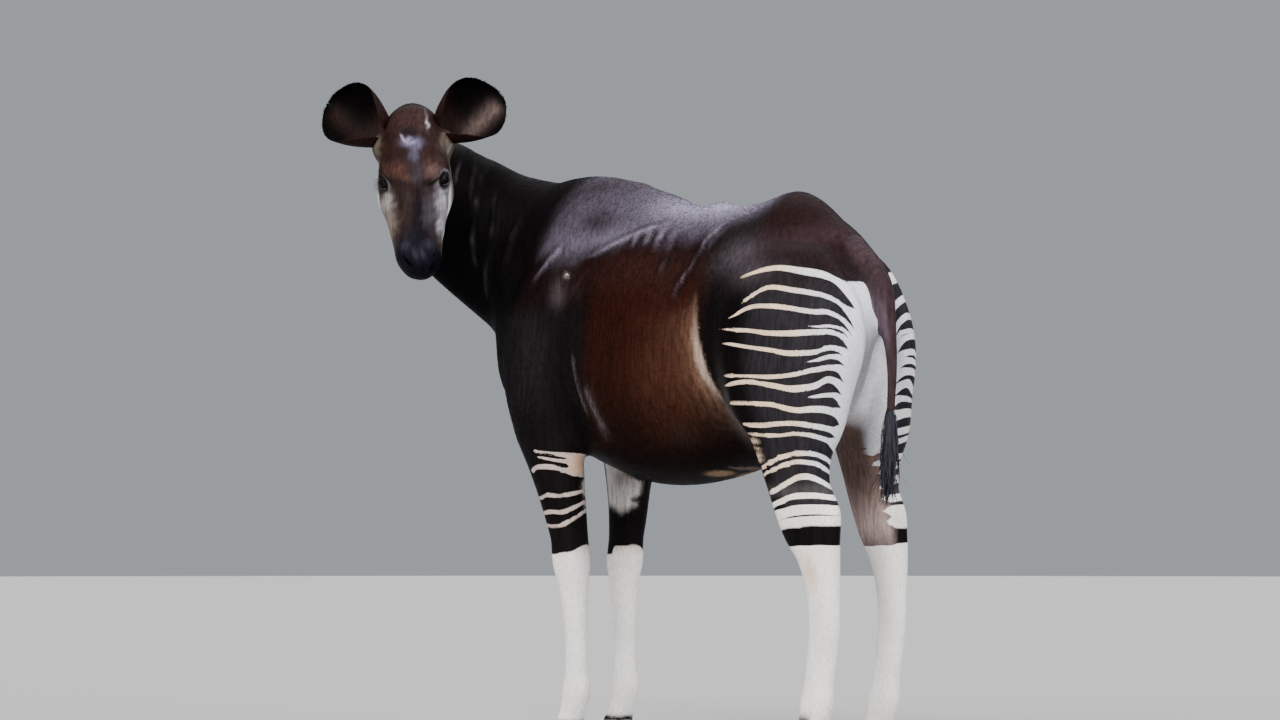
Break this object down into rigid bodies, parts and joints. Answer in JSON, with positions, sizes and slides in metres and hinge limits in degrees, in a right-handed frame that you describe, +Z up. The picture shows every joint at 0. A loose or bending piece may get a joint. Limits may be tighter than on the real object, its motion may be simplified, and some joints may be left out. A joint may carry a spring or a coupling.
{
  "type": "okapi figure",
  "caption": "Life-size standing okapi with striped haunches and legs, its head turned back over the left shoulder, ears wide.",
  "frame": {"origin": "on the ground, under the middle of the whole figure", "axes": "+X forward along the trunk, +Y to the animal's left, +Z up"},
  "size_m": [1.7258, 0.793, 1.8546],
  "materials": {
    "coat": "short dark red-brown coat with a blue-grey sheen on the back",
    "neck_coat": "short near-black coat, lying in soft folds",
    "face_coat": "red-brown forehead, pale grey cheeks, dark muzzle",
    "striped_coat": "dark brown coat with cream and white cross stripes",
    "stocking": "white short coat with dark bands",
    "ear_coat": "dark velvet hair with a paler fringe",
    "eye_gloss": "wet dark eye",
    "hoof_horn": "dark smooth horn",
    "tail_hair": "long dark tail hair"
  },
  "bodies": {
    "root": {"torso": "coat", "neck": "neck_coat", "head": "face_coat", "left_ear": "ear_coat", "right_ear": "ear_coat", "left_eye": "eye_gloss", "right_eye": "eye_gloss", "left_foreleg_upper": "striped_coat", "left_foreleg_lower": "stocking", "left_foreleg_hoof_inner": "hoof_horn", "left_foreleg_hoof_outer": "hoof_horn", "right_foreleg_upper": "striped_coat", "right_foreleg_lower": "stocking", "right_foreleg_hoof_inner": "hoof_horn", "right_foreleg_hoof_outer": "hoof_horn", "left_hindleg_upper": "striped_coat", "left_hindleg_lower": "stocking", "left_hindleg_hoof_inner": "hoof_horn", "left_hindleg_hoof_outer": "hoof_horn", "right_hindleg_upper": "striped_coat", "right_hindleg_lower": "stocking", "right_hindleg_hoof_inner": "hoof_horn", "right_hindleg_hoof_outer": "hoof_horn", "tail": "coat", "tail_tuft": "tail_hair"}
  },
  "joints": []
}
